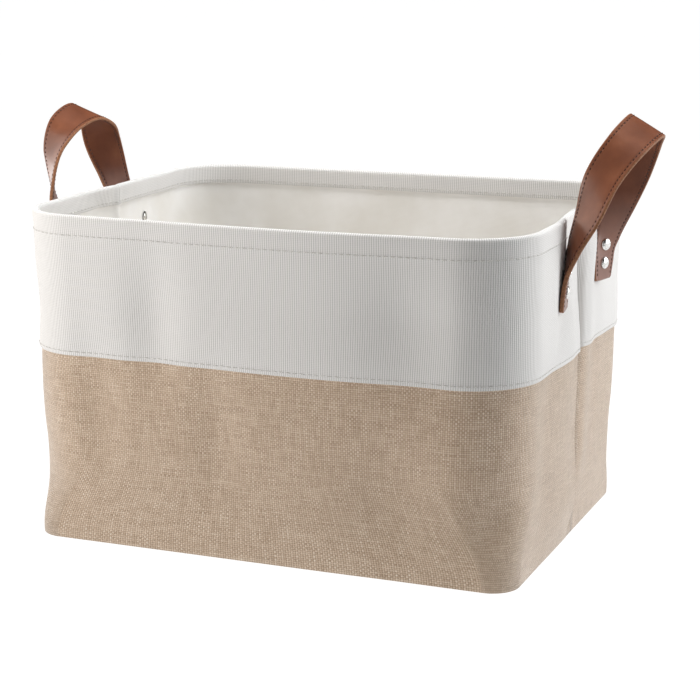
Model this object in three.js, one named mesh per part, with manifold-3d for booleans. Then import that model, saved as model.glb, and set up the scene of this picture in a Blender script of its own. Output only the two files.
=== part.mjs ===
// Fabric storage bin: a soft open box with a linen body, a canvas cuff and two leather strap handles.
// Millimetres, +Z up. The origin is the bottom centre of the base; X runs along the long side, +Y is
// the back. The sewn walls are flat strips bent round the bin, the handles flat straps bent in space.
import * as THREE from "three";
import { mergeVertices } from "three/addons/utils/BufferGeometryUtils.js";
import Module from "manifold-3d";

// ---- Overall shape ------------------------------------------------------------------------------
const HEIGHT = 240; // floor to rim
const RIM_LENGTH = 380; // outside, end to end, at the rim
const RIM_DEPTH = 306; // outside, front to back, at the rim
const BASE_LENGTH = 364; // outside, at the floor
const BASE_DEPTH = 274;
const BASE_CORNER = 20; // plan radius of the pinched corners at the floor
const BODY_CORNER = 50; // plan radius of the soft corners above
const CORNER_RISE = 75; // height at which a corner has opened to its full radius
const END_CREASE = 7; // how far the middle of each end folds in
const CREASE_REACH = 70; // how far that fold spreads to each side of the middle
const CREASE_RISE = 90; // height at which that fold is at its full depth
const CORNER_LEVELS = [12, 30, 50]; // heights between the floor and CORNER_RISE where the wall is divided

// ---- Cloth and board ----------------------------------------------------------------------------
const LINEN = 1.5; // beige outer cloth with its backing
const CANVAS = 1.5; // white cuff cloth
const LINING = 1.0; // white inner cloth
const BOARD = 2.5; // stiffener under the lining
const GAP = 0.3; // room between pieces that touch
const LINING_EASE = 0.9; // room for the loose lining inside the outer cloth
const CUFF_BOTTOM = 139; // height of the cuff's lower edge
const CUFF_LAP = 10; // how far the cuff covers the linen
const CUFF_JOG = 7; // height over which the cuff settles back beside the lining
const HEM_DEPTH = 14.5; // cuff turned in over the rim
const FOLD_BEVEL = 1.1; // softened edge along the fold
const LINING_TUCK = 2; // room between the lining's top edge and the fold

// ---- Handles ------------------------------------------------------------------------------------
const STRAP = 3.0; // thickness, two plies sewn together
const STRAP_EDGE = 0.8; // softened edge of the strap
const TAB_WIDTH = 25; // strap width where it is riveted
const LOOP_WIDTH = 29; // strap width over the top
const LOOP_FLARE = 0.45; // share of a leg over which the strap widens
const TAB_CORNER = 2.5; // rounded corners of a tab's lower end
const TAB_SPREAD = 46; // from the middle of an end to the middle of a tab
const TAB_BOTTOM = 183.5; // heights above the floor, on the rear tabs
const LOWER_RIVET = 196;
const UPPER_RIVET = 210.5;
const FRONT_TAB_DROP = 6.5; // how much lower the front tabs are riveted
const HINGE = 218; // fold line where a strap bends
const HINGE_STAND = 2.6; // fold line's extra distance from the cuff
const TAB_CLEARANCE = 0.6; // between a tab's top edge and the swinging strap end
const LEAN_OUT = 30; // tilt of the strap across its width at the top of the right loop, degrees
const LEAN_OUT_LEFT = 22; // the same on the left loop

// Stations up a strap's leg, from the fold line to the crown: distance out from the line of the end
// wall through the fold, share of the tab spread, height above the fold line, and how far the strap
// has turned, in degrees, from edge-on at the wall (90) to lying across the end (0).
const RIGHT_LEG = [
  [0, 1.0, 0, 90],
  [0.3, 1.0, 3, 82],
  [6.6, 1.0, 12, 56],
  [10.8, 0.97, 24, 42],
  [19.3, 0.78, 50, 28],
  [30.5, 0.43, 74, 14],
  [37.2, 0, 83, 0],
];
const LEFT_LEG = [
  [0, 1.0, 0, 90],
  [0.4, 1.0, 3, 84],
  [14.1, 1.06, 13, 60],
  [20.3, 1.02, 35, 47],
  [20.5, 0.85, 53, 30],
  [16.3, 0.48, 71, 14],
  [13.7, 0, 79, 0],
];

// ---- Rivets -------------------------------------------------------------------------------------
const HEAD_RADIUS = 4.5;
const HEAD_HEIGHT = 2.2;
const POST_RADIUS = 1.6;
const BACK_RADIUS = 4.0;
const BACK_HEIGHT = 1.9;
const SOCKET_DEPTH = 1.2; // how far a post reaches into its back

// ---- How finely the round shapes are divided -----------------------------------------------------
const CORNER_STEPS = 5;
const SIDE_STEPS = 2; // on each half of a long side
const STRAP_STEPS = 44;
const ROUND_STEPS = 16;
const DOME_STEPS = 3;

const wasm = await Module();
wasm.setup();

const lerp = THREE.MathUtils.lerp;
const smooth = THREE.MathUtils.smoothstep;

// ---- Materials ----------------------------------------------------------------------------------
const FINISHES = {
  linen: { color: 0xc9b5a0, roughness: 0.95, metalness: 0 },
  canvas: { color: 0xe6e5e2, roughness: 0.9, metalness: 0 },
  lining: { color: 0xdddad4, roughness: 0.9, metalness: 0 },
  board: { color: 0xb9a98d, roughness: 0.85, metalness: 0 },
  leather: { color: 0x6e3c2a, roughness: 0.5, metalness: 0 },
  nickel: { color: 0xc9c7c2, roughness: 0.25, metalness: 1 },
};

// ---- Solids -------------------------------------------------------------------------------------
// A closed three.js geometry as a manifold solid, with its shared corners merged.
function solidOf(geometry) {
  const bare = geometry.index ? geometry.clone() : geometry;
  bare.deleteAttribute("normal");
  bare.deleteAttribute("uv");
  const merged = mergeVertices(bare, 1e-4);
  const vertProperties = new Float32Array(merged.attributes.position.array);
  const triVerts = new Uint32Array(merged.index.array);
  return new wasm.Manifold(new wasm.Mesh({ numProp: 3, vertProperties, triVerts }));
}

// A manifold solid as a three.js geometry.
function geometryOf(solid) {
  const mesh = solid.getMesh();
  const geometry = new THREE.BufferGeometry();
  const corners = new Float32Array(mesh.numVert * 3);
  for (let i = 0; i < mesh.numVert; i += 1) {
    for (let k = 0; k < 3; k += 1) {
      corners[3 * i + k] = mesh.vertProperties[mesh.numProp * i + k];
    }
  }
  geometry.setAttribute("position", new THREE.BufferAttribute(corners, 3));
  geometry.setIndex(new THREE.BufferAttribute(new Uint32Array(mesh.triVerts), 1));
  return geometry;
}

// A geometry with every tool cut away from it.
function pierced(geometry, tools) {
  let solid = solidOf(geometry);
  for (const tool of tools) {
    solid = solid.subtract(solidOf(tool));
  }
  return geometryOf(solid);
}

// A geometry with each of its points moved by a function of the point.
function bent(geometry, place) {
  const position = geometry.attributes.position;
  const point = new THREE.Vector3();
  for (let i = 0; i < position.count; i += 1) {
    point.fromBufferAttribute(position, i);
    const moved = place(point);
    position.setXYZ(i, moved.x, moved.y, moved.z);
  }
  return geometry;
}

// ---- The bin's wall -----------------------------------------------------------------------------
const halfLength = (z) => lerp(BASE_LENGTH, RIM_LENGTH, z / HEIGHT) / 2;
const halfDepth = (z) => lerp(BASE_DEPTH, RIM_DEPTH, z / HEIGHT) / 2;
const cornerRadius = (z) => lerp(BASE_CORNER, BODY_CORNER, smooth(z, 0, CORNER_RISE));
const creaseDepth = (z) => END_CREASE * smooth(z, 0, CREASE_RISE);

// The right end at a distance y from its middle: how far the fold has drawn it in, and its slope.
function crease(y, z) {
  const turn = Math.PI * THREE.MathUtils.clamp(y / CREASE_REACH, -1, 1);
  return {
    inward: (creaseDepth(z) * (1 + Math.cos(turn))) / 2,
    slope: (-creaseDepth(z) * Math.PI * Math.sin(turn)) / (2 * CREASE_REACH),
  };
}

// A point of the right end, "out" millimetres outside the linen's outer face.
function endPoint(y, z, out) {
  const fold = crease(y, z);
  const normal = new THREE.Vector2(1, fold.slope).normalize();
  return new THREE.Vector3(halfLength(z) - fold.inward + out * normal.x, y + out * normal.y, z);
}

// The front half of the wall, as five stretches run from the right end's middle to the left end's:
// end, corner, side, corner, end. "along" counts stretches from 0 to 5.
function wallPoint(along, z, out) {
  const fromRight = along <= 2.5;
  const stretch = fromRight ? along : 5 - along;
  const straight = halfDepth(z) - cornerRadius(z);
  let point;
  if (stretch <= 1) {
    const seam = GAP / 2;
    point = endPoint(-lerp(seam, straight, stretch), z, out);
  } else if (stretch <= 2) {
    const turn = ((stretch - 1) * Math.PI) / 2;
    const radius = cornerRadius(z) + out;
    const x = halfLength(z) - cornerRadius(z) + radius * Math.cos(turn);
    point = new THREE.Vector3(x, -straight - radius * Math.sin(turn), z);
  } else {
    const run = halfLength(z) - cornerRadius(z);
    point = new THREE.Vector3(run * (1 - 2 * (stretch - 2)), -halfDepth(z) - out, z);
  }
  point.x *= fromRight ? 1 : -1;
  return point;
}

// Where the wall is divided along its length. Two of the divisions on an end lie at a tab's edges, so
// that the wall is flat behind the tab.
const END_RUN = halfDepth(UPPER_RIVET) - cornerRadius(UPPER_RIVET);
const TAB_INNER = (TAB_SPREAD - TAB_WIDTH / 2) / END_RUN;
const TAB_OUTER = (TAB_SPREAD + TAB_WIDTH / 2) / END_RUN;
const HALF_STATIONS = [0, TAB_INNER / 2, TAB_INNER, TAB_OUTER, (TAB_OUTER + 1) / 2, 1];
for (let i = 1; i <= CORNER_STEPS; i += 1) {
  HALF_STATIONS.push(1 + i / CORNER_STEPS);
}
for (let i = 1; i <= SIDE_STEPS; i += 1) {
  HALF_STATIONS.push(2 + i / (2 * SIDE_STEPS));
}
const MIRRORED = HALF_STATIONS.slice(0, -1).reverse().map((station) => 5 - station);
const WALL_STATIONS = [...HALF_STATIONS, ...MIRRORED];

// A strip whose section, drawn as distance outwards and height, is carried round half the bin.
function wallStrip(section) {
  const steps = WALL_STATIONS.length - 1;
  const strip = new THREE.ExtrudeGeometry(new THREE.Shape(section), {
    depth: steps,
    steps,
    bevelEnabled: false,
  });
  return bent(strip, (p) => wallPoint(WALL_STATIONS[Math.round(p.z)], p.y, p.x));
}

// The section of a plain sheet: its outer face at "out", drawn through the given heights.
function sheetSection(out, thickness, heights) {
  const inner = heights.map((z) => new THREE.Vector2(out - thickness, z));
  const outer = heights.map((z) => new THREE.Vector2(out, z));
  return [...outer, ...inner.reverse()];
}

// Heights that follow the opening corner closely and the straight wall loosely.
function wallHeights(bottom, top) {
  const levels = [...CORNER_LEVELS, CORNER_RISE, CREASE_RISE];
  const inside = levels.filter((z) => z > bottom && z < top);
  return [bottom, ...inside, top];
}

// The front half turned half a turn about the bin's middle is the back half.
function backHalf(geometry) {
  return geometry.clone().rotateZ(Math.PI);
}

// ---- Layers, as distances out from the linen's outer face ---------------------------------------
const LINEN_TOP = CUFF_BOTTOM + CUFF_LAP;
const CUFF_OUT = GAP + CANVAS;
const LINING_OUT = -Math.max(LINEN, CANVAS) - LINING_EASE;
const LINING_IN = LINING_OUT - LINING;
const HEM_OUT = LINING_IN - GAP;
const HEM_IN = HEM_OUT - CANVAS;
const BOARD_BOTTOM = LINEN + GAP;
const BOARD_TOP = BOARD_BOTTOM + BOARD;
const LINING_FLOOR = BOARD_TOP + GAP;
const LINING_TOP = HEIGHT - CANVAS - GAP - LINING_TUCK;

// The cuff laps over the linen, steps in above it, and turns over the rim into a hem.
function cuffSection() {
  const jogStart = LINEN_TOP + GAP;
  const points = [
    [CUFF_OUT, CUFF_BOTTOM],
    [CUFF_OUT, jogStart],
    [0, jogStart + CUFF_JOG],
    [0, HEIGHT - FOLD_BEVEL],
    [-FOLD_BEVEL, HEIGHT],
    [HEM_IN + FOLD_BEVEL, HEIGHT],
    [HEM_IN, HEIGHT - FOLD_BEVEL],
    [HEM_IN, HEIGHT - HEM_DEPTH],
    [HEM_OUT, HEIGHT - HEM_DEPTH],
    [HEM_OUT, HEIGHT - CANVAS],
    [-CANVAS, HEIGHT - CANVAS],
    [-CANVAS, jogStart + CUFF_JOG],
    [GAP, jogStart],
    [GAP, CUFF_BOTTOM],
  ];
  return points.map(([out, z]) => new THREE.Vector2(out, z));
}

// ---- Floor pieces -------------------------------------------------------------------------------
// A flat sheet that fills the bin's plan, "inset" millimetres inside the linen's outer face.
function floorSheet(inset, bottom, thickness) {
  const x = halfLength(0) - inset;
  const y = halfDepth(0) - inset;
  const r = BASE_CORNER - inset;
  const plan = new THREE.Shape();
  plan.moveTo(x, -y + r);
  plan.lineTo(x, y - r);
  plan.absarc(x - r, y - r, r, 0, Math.PI / 2);
  plan.lineTo(-x + r, y);
  plan.absarc(-x + r, y - r, r, Math.PI / 2, Math.PI);
  plan.lineTo(-x, -y + r);
  plan.absarc(-x + r, -y + r, r, Math.PI, 1.5 * Math.PI);
  plan.lineTo(x - r, -y);
  plan.absarc(x - r, -y + r, r, 1.5 * Math.PI, 2 * Math.PI);
  const sheet = new THREE.ExtrudeGeometry(plan, {
    depth: thickness,
    bevelEnabled: false,
    curveSegments: CORNER_STEPS,
  });
  return sheet.translate(0, 0, bottom);
}

// ---- Where a tab sits ---------------------------------------------------------------------------
// A frame on the end wall at a tab: X out of the wall, Y across the tab, Z up the wall. "side" is 1
// for the right end and -1 for the left, "half" is 1 for the rear tab and -1 for the front one.
function tabFrame(side, half, z) {
  const y = TAB_SPREAD * half;
  const chord = (height) => [-1, 1].map((edge) => endPoint(y + (edge * TAB_WIDTH) / 2, height, 0));
  const [near, far] = chord(z);
  const origin = near.clone().add(far).divideScalar(2);
  const [nearAbove, farAbove] = chord(z + 1);
  const up = nearAbove.add(farAbove).divideScalar(2).sub(origin).normalize();
  const across = far.clone().sub(near).normalize();
  const out = new THREE.Vector3().crossVectors(across, up).normalize();
  across.crossVectors(up, out);
  const frame = new THREE.Matrix4().makeBasis(out, across, up).setPosition(origin);
  if (side < 0) {
    frame.premultiply(new THREE.Matrix4().makeRotationZ(Math.PI));
  }
  return frame;
}

// On the left end the frame is the right end's turned half round, so front and rear change places.
const frameAt = (side, half, z) => tabFrame(side, side * half, z);

// ---- Rivets -------------------------------------------------------------------------------------
const HEAD_SEAT = GAP + STRAP + GAP;
const BACK_SEAT = LINING_IN - GAP;
const POST_END = BACK_SEAT - SOCKET_DEPTH + GAP;
const HOLE_RADIUS = POST_RADIUS + GAP;

// A turned piece whose axis lies along the frame's X, from [radius, distance out] pairs.
function turned(profile) {
  const points = profile.map(([radius, out]) => new THREE.Vector2(radius, out));
  return new THREE.LatheGeometry(points, ROUND_STEPS).rotateZ(-Math.PI / 2);
}

// Points of a dome from its rim to its crown.
function dome(radius, seat, height) {
  const points = [];
  for (let i = 0; i <= DOME_STEPS; i += 1) {
    const turn = (i * Math.PI) / (2 * DOME_STEPS);
    points.push([radius * Math.cos(turn), seat + height * Math.sin(turn)]);
  }
  points[DOME_STEPS][0] = 0;
  return points;
}

const rivetHead = turned([
  [0, POST_END],
  [POST_RADIUS, POST_END],
  [POST_RADIUS, HEAD_SEAT],
  ...dome(HEAD_RADIUS, HEAD_SEAT, HEAD_HEIGHT),
]);

const rivetBack = turned([
  ...dome(BACK_RADIUS, BACK_SEAT, -BACK_HEIGHT).reverse(),
  [HOLE_RADIUS, BACK_SEAT],
  [HOLE_RADIUS, BACK_SEAT - SOCKET_DEPTH],
  [0, BACK_SEAT - SOCKET_DEPTH],
]);

const rivetDrill = turned([
  [0, HEM_IN - BACK_HEIGHT],
  [HOLE_RADIUS, HEM_IN - BACK_HEIGHT],
  [HOLE_RADIUS, HEAD_SEAT],
  [0, HEAD_SEAT],
]);

// ---- Straps -------------------------------------------------------------------------------------
// The strap's section: a thin rectangle with its long edges softened.
function strapSection(width) {
  const w = width / 2;
  const t = STRAP / 2;
  const outline = [
    [w, -t + STRAP_EDGE],
    [w, t - STRAP_EDGE],
    [w - STRAP_EDGE, t],
    [-w + STRAP_EDGE, t],
    [-w, t - STRAP_EDGE],
    [-w, -t + STRAP_EDGE],
    [-w + STRAP_EDGE, -t],
    [w - STRAP_EDGE, -t],
  ];
  return new THREE.Shape(outline.map(([x, y]) => new THREE.Vector2(x, y)));
}

// A tab: the riveted end of a strap, flat on the cuff, in its frame at the upper rivet's height. Its
// top stays under the fold line, however far it is dropped.
function tabGeometry(drop) {
  const top = HINGE - STRAP / 2 - TAB_CLEARANCE - UPPER_RIVET + drop;
  const bottom = TAB_BOTTOM - UPPER_RIVET;
  const w = TAB_WIDTH / 2;
  const face = new THREE.Shape();
  face.moveTo(-w, top);
  face.lineTo(-w, bottom + TAB_CORNER);
  face.quadraticCurveTo(-w, bottom, -w + TAB_CORNER, bottom);
  face.lineTo(w - TAB_CORNER, bottom);
  face.quadraticCurveTo(w, bottom, w, bottom + TAB_CORNER);
  face.lineTo(w, top);
  for (const z of [0, LOWER_RIVET - UPPER_RIVET]) {
    face.holes.push(new THREE.Path().absarc(0, z, HOLE_RADIUS, 0, 2 * Math.PI, true));
  }
  const tab = new THREE.ExtrudeGeometry(face, {
    depth: STRAP,
    bevelEnabled: false,
    curveSegments: ROUND_STEPS / 2,
  });
  tab.rotateX(Math.PI / 2).rotateZ(Math.PI / 2);
  return tab.translate(GAP, 0, 0);
}

// The fold line of a handle: how far from the bin's middle, at the hinge height. Above it the loop
// leans out with the flare of the end.
const hingeOut = endPoint(TAB_SPREAD, HINGE, 0).x + GAP + STRAP / 2 + HINGE_STAND;
const endFlare = (RIM_LENGTH - BASE_LENGTH) / 2 / HEIGHT;

// A handle's loop: a strap carried up one leg, over the crown and down the other, turning as it goes.
function loopGeometry(side, leg, lean) {
  const crown = leg.length - 1;
  const stations = [...leg, ...leg.slice(0, crown).reverse()];
  const places = stations.map(([out, spread, up], i) => {
    const half = i < crown ? -1 : 1;
    const x = hingeOut + endFlare * up + out;
    return new THREE.Vector3(side * x, half * spread * TAB_SPREAD, HINGE + up);
  });
  const turns = stations.map((station, i) => (i < crown ? -station[3] : station[3]));
  const path = new THREE.CatmullRomCurve3(places, false, "centripetal");
  const turnPath = new THREE.CatmullRomCurve3(
    turns.map((turn, i) => new THREE.Vector3(i, turn, 0)),
    false,
    "catmullrom",
  );
  const strap = new THREE.ExtrudeGeometry(strapSection(LOOP_WIDTH), {
    depth: STRAP_STEPS,
    steps: STRAP_STEPS,
    bevelEnabled: false,
  });
  const frames = [];
  for (let i = 0; i <= STRAP_STEPS; i += 1) {
    const t = i / STRAP_STEPS;
    const turn = THREE.MathUtils.degToRad(turnPath.getPoint(t).y);
    const tilt = THREE.MathUtils.degToRad(lean) * Math.cos(turn);
    const tangent = path.getTangent(t);
    const width = new THREE.Vector3(
      Math.cos(turn) * Math.cos(tilt),
      Math.sin(turn) * Math.cos(tilt),
      -Math.sin(tilt),
    );
    width.addScaledVector(tangent, -width.dot(tangent)).normalize();
    const face = new THREE.Vector3().crossVectors(tangent, width);
    const end = 1 - smooth(Math.min(t, 1 - t) * 2, 0, LOOP_FLARE);
    const share = lerp(LOOP_WIDTH, TAB_WIDTH, end) / LOOP_WIDTH;
    frames.push({ centre: path.getPoint(t), width, face, share });
  }
  return bent(strap, (p) => {
    const frame = frames[Math.round(p.z)];
    const moved = frame.centre.clone();
    moved.addScaledVector(frame.width, p.x * frame.share);
    return moved.addScaledVector(frame.face, p.y);
  });
}

// ---- Assembly -----------------------------------------------------------------------------------
const bin = new THREE.Group();
bin.name = "fabric_storage_bin";

function addPiece(name, geometry, finish) {
  const mesh = new THREE.Mesh(geometry, new THREE.MeshStandardMaterial(FINISHES[finish]));
  mesh.name = name;
  bin.add(mesh);
}

const TABS = [
  { name: "left_front", side: -1, half: -1, drop: FRONT_TAB_DROP },
  { name: "left_rear", side: -1, half: 1, drop: 0 },
  { name: "right_front", side: 1, half: -1, drop: FRONT_TAB_DROP },
  { name: "right_rear", side: 1, half: 1, drop: 0 },
];
const RIVETS = [
  { name: "upper", z: UPPER_RIVET },
  { name: "lower", z: LOWER_RIVET },
];

// Every rivet goes along the normal of its tab's own frame, so the holes line up through all layers.
function rivetFrame(tab, z) {
  const shift = new THREE.Matrix4().makeTranslation(0, 0, z - UPPER_RIVET);
  return frameAt(tab.side, tab.half, UPPER_RIVET - tab.drop).multiply(shift);
}

const drills = { front: [], back: [] };
for (const tab of TABS) {
  const wall = tab.half < 0 ? "front" : "back";
  for (const rivet of RIVETS) {
    drills[wall].push(rivetDrill.clone().applyMatrix4(rivetFrame(tab, rivet.z)));
  }
}

const linenWall = wallStrip(sheetSection(0, LINEN, wallHeights(0, LINEN_TOP)));
const cuffWall = wallStrip(cuffSection());
const liningWall = wallStrip(sheetSection(LINING_OUT, LINING, wallHeights(LINING_FLOOR, LINING_TOP)));

addPiece("front_linen_panel", linenWall, "linen");
addPiece("back_linen_panel", backHalf(linenWall), "linen");
addPiece("front_canvas_cuff", pierced(cuffWall, drills.front), "canvas");
addPiece("back_canvas_cuff", pierced(backHalf(cuffWall), drills.back), "canvas");
addPiece("front_lining_panel", pierced(liningWall, drills.front), "lining");
addPiece("back_lining_panel", pierced(backHalf(liningWall), drills.back), "lining");

addPiece("base_linen_panel", floorSheet(LINEN + GAP, 0, LINEN), "linen");
addPiece("base_board", floorSheet(LINEN + GAP, BOARD_BOTTOM, BOARD), "board");
addPiece("base_lining_panel", floorSheet(GAP - LINING_IN, LINING_FLOOR, LINING), "lining");

for (const tab of TABS) {
  const seat = frameAt(tab.side, tab.half, UPPER_RIVET - tab.drop);
  addPiece(`${tab.name}_tab`, tabGeometry(tab.drop).applyMatrix4(seat), "leather");
  for (const rivet of RIVETS) {
    const place = rivetFrame(tab, rivet.z);
    addPiece(`${tab.name}_${rivet.name}_rivet`, rivetHead.clone().applyMatrix4(place), "nickel");
    addPiece(`${tab.name}_${rivet.name}_rivet_back`, rivetBack.clone().applyMatrix4(place), "nickel");
  }
}

addPiece("right_handle_loop", loopGeometry(1, RIGHT_LEG, LEAN_OUT), "leather");
addPiece("left_handle_loop", loopGeometry(-1, LEFT_LEG, -LEAN_OUT_LEFT), "leather");

export default bin;
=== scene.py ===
"""A fabric storage bin: linen body, white canvas cuff, lining, and two riveted leather handles.

Shapes are worked out in millimetres, with +Z up, +X along the long side and +Y to the back, and
placed() turns them into the frame's metres. A sewn wall is a closed section, drawn as distance out
from the linen's face and height, carried round half the bin. A strap is a section carried along a
path in space.
"""
import math

import bpy
import numpy as np
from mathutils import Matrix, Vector


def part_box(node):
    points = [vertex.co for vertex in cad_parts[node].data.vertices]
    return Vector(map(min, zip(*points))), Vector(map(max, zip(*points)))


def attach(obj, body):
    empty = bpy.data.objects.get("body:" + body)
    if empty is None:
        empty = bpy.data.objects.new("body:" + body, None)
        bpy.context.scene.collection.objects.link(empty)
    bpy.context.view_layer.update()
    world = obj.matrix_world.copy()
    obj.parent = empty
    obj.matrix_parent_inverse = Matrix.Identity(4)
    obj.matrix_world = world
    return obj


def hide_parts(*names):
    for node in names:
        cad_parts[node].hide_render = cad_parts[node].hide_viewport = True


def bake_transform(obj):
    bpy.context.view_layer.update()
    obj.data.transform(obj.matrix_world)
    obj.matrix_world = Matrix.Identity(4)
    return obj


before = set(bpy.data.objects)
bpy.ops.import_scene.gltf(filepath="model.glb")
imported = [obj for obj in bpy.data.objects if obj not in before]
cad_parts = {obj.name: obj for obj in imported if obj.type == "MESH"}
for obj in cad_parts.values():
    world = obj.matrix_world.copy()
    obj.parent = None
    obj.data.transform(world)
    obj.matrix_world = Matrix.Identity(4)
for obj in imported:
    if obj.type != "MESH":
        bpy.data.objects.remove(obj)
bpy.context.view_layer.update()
MM = 0.001
UV_START = 1000  # UV lengths start here, so that no thread count is negative

# ---- Overall shape, as in the frame ---------------------------------------------------------------
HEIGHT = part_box("front_canvas_cuff")[1][2] / MM
RIM_LENGTH = 380
RIM_DEPTH = 306
BASE_LENGTH = 364
BASE_DEPTH = 274
BASE_CORNER = 20
BODY_CORNER = 50
CORNER_RISE = 75
END_CREASE = 7
CREASE_REACH = 70
CREASE_RISE = 90
SEAM_GAP = 0.3

# ---- Cloth layers, as distances out from the linen's face ------------------------------------------
LINEN = 1.5
CANVAS = 1.5
LINING = 1.0
GAP = 0.3
CUFF_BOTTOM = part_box("front_canvas_cuff")[0][2] / MM
LINEN_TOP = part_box("front_linen_panel")[1][2] / MM
CUFF_JOG = 34
CUFF_OUT = GAP + CANVAS
LINING_EASE = 0.9
LINING_OUT = -LINEN - LINING_EASE
LINING_IN = LINING_OUT - LINING
HEM_OUT = LINING_IN - GAP
HEM_IN = HEM_OUT - CANVAS
HEM_DEPTH = 14.5
LINING_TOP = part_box("front_lining_panel")[1][2] / MM
LINING_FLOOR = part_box("front_lining_panel")[0][2] / MM

# ---- Thread ---------------------------------------------------------------------------------------
HEM_STITCH_DROP = 14.2
INNER_STITCH_DROP = 12.6
CUFF_STITCH_RISE = 3
CLOTH_STITCH = {"pitch": 5.0, "length": 3.9, "width": 0.95, "proud": 0.12}
STRAP_STITCH = {"pitch": 3.1, "length": 1.9, "width": 0.95, "proud": 0.18}

# ---- Straps and rivets ----------------------------------------------------------------------------
STRAP = 3.0
TAB_WIDTH = 25
LOOP_WIDTH = 29
STITCH_INSET = 3.0
STRAP_STITCH_START = 4.5
HEAD_RADIUS = 4.5
HEAD_HEIGHT = 2.2
POST_RADIUS = 1.6
POST_LENGTH = 7.5
CAP_RADIUS = 4.0
CAP_HEIGHT = 1.9


# ---- Small helpers --------------------------------------------------------------------------------
def smooth(x, low=0.0, high=1.0):
    """The smooth step 3t^2 - 2t^3 of how far x lies from low to high."""
    t = np.clip((x - low) / (high - low), 0, 1)
    return t * t * (3 - 2 * t)


def bell(x, spread):
    """exp(-(x / spread)^2): one at the middle, nothing past two spreads."""
    return np.exp(-((x / spread) ** 2))


def unit(v):
    return v / np.linalg.norm(v, axis=-1, keepdims=True)


def spline(knots, count):
    """A smooth curve through rows of numbers: cubic Hermite pieces whose slopes are the mean slopes
    of the neighbours, spaced by chord length and sampled evenly along it."""
    knots = np.asarray(knots, float)
    chord = np.linalg.norm(np.diff(knots[:, :3], axis=0), axis=1)
    at = np.r_[0, np.cumsum(chord)]
    slope = np.gradient(knots, at, axis=0)
    s = np.linspace(0, at[-1], count)
    i = np.clip(np.searchsorted(at, s, side="right") - 1, 0, len(chord) - 1)
    h = chord[i][:, None]
    t = ((s - at[i]) / chord[i])[:, None]
    start = (2 * t**3 - 3 * t**2 + 1) * knots[i] + (t**3 - 2 * t**2 + t) * h * slope[i]
    end = (3 * t**2 - 2 * t**3) * knots[i + 1] + (t**3 - t**2) * h * slope[i + 1]
    return start + end


def signed_volume(vertices, faces):
    """Six times the volume under the faces, each cut into triangles from its first corner; it is
    positive where they point outwards."""
    first = vertices[faces[:, 0]]
    fans = zip(faces[:, 1:-1].T, faces[:, 2:].T)
    return sum(np.einsum("ij,ij->", first, np.cross(vertices[b], vertices[c])) for b, c in fans)


def placed(name, vertices, face_sets, uv_sets=(), materials=(), face_material=None):
    """A mesh object from points in millimetres, arrays of quads or triangles, and an array of UV
    pairs, one per corner, for each of them. The faces are turned over if the solid's signed volume
    is negative, so they always point outwards."""
    vertices = np.asarray(vertices, float).reshape(-1, 3)
    if sum(signed_volume(vertices, faces) for faces in face_sets) < 0:
        face_sets = [faces[:, ::-1] for faces in face_sets]
        uv_sets = [uv[:, ::-1] for uv in uv_sets]
    mesh = bpy.data.meshes.new(name)
    faces = [face for face_set in face_sets for face in face_set.tolist()]
    mesh.from_pydata((vertices * MM).tolist(), [], faces)
    if len(uv_sets):
        layer = mesh.uv_layers.new(name="cloth")
        corners = np.concatenate([uv.reshape(-1, 2) for uv in uv_sets])
        layer.data.foreach_set("uv", (corners * MM).astype(np.float32).ravel())
    for material in materials:
        mesh.materials.append(material)
    if face_material is not None:
        mesh.polygons.foreach_set("material_index", face_material.astype(np.int32).ravel())
    mesh.polygons.foreach_set("use_smooth", np.ones(len(faces), bool))
    mesh.validate()
    mesh.update()
    piece = bpy.data.objects.new(name, mesh)
    bpy.context.scene.collection.objects.link(piece)
    return piece


def tube_faces(rings, sides):
    """Quads of a grid of rings by sides, closed round the sides, and a strip of quads for each end
    that pairs the section's first half with its second, so the solid is closed."""
    i, j = np.meshgrid(np.arange(rings - 1), np.arange(sides), indexing="ij")
    k = (j + 1) % sides
    quads = np.stack([i * sides + j, (i + 1) * sides + j, (i + 1) * sides + k, i * sides + k], -1)
    quads = quads.reshape(-1, 4)
    m = np.arange(sides // 2 - 1)
    cap = np.stack([m, m + 1, sides - 2 - m, sides - 1 - m], -1)
    last = (rings - 1) * sides
    return quads, cap, cap[:, ::-1] + last


def carried(name, points, u, v, materials, side_material=None):
    """The closed solid of a section carried along stations: points is stations x section x 3, u and
    v the UV lengths along each. The section has an even count, its second half facing its first."""
    rings, sides = points.shape[:2]
    quads, cap, end_cap = tube_faces(rings, sides)
    v_closed = np.r_[v, v[-1] + abs(v[-1] - v[-2])]
    i, j = np.meshgrid(np.arange(rings - 1), np.arange(sides), indexing="ij")
    uv = np.stack(
        [
            np.stack([u[i], v_closed[j]], -1),
            np.stack([u[i + 1], v_closed[j]], -1),
            np.stack([u[i + 1], v_closed[j + 1]], -1),
            np.stack([u[i], v_closed[j + 1]], -1),
        ],
        2,
    ).reshape(-1, 4, 2)
    cap_uv = np.stack([np.full(cap.shape, u[0]), v[cap]], -1)
    end_uv = np.stack([np.full(cap.shape, u[-1]), v[cap[:, ::-1]]], -1)
    face_material = None
    if side_material is not None:
        around = np.tile(side_material, rings - 1)
        face_material = np.r_[around, np.ones(len(cap) * 2, int)]
    return placed(name, points, [quads, cap, end_cap], [uv, cap_uv, end_uv], materials, face_material)


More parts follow.
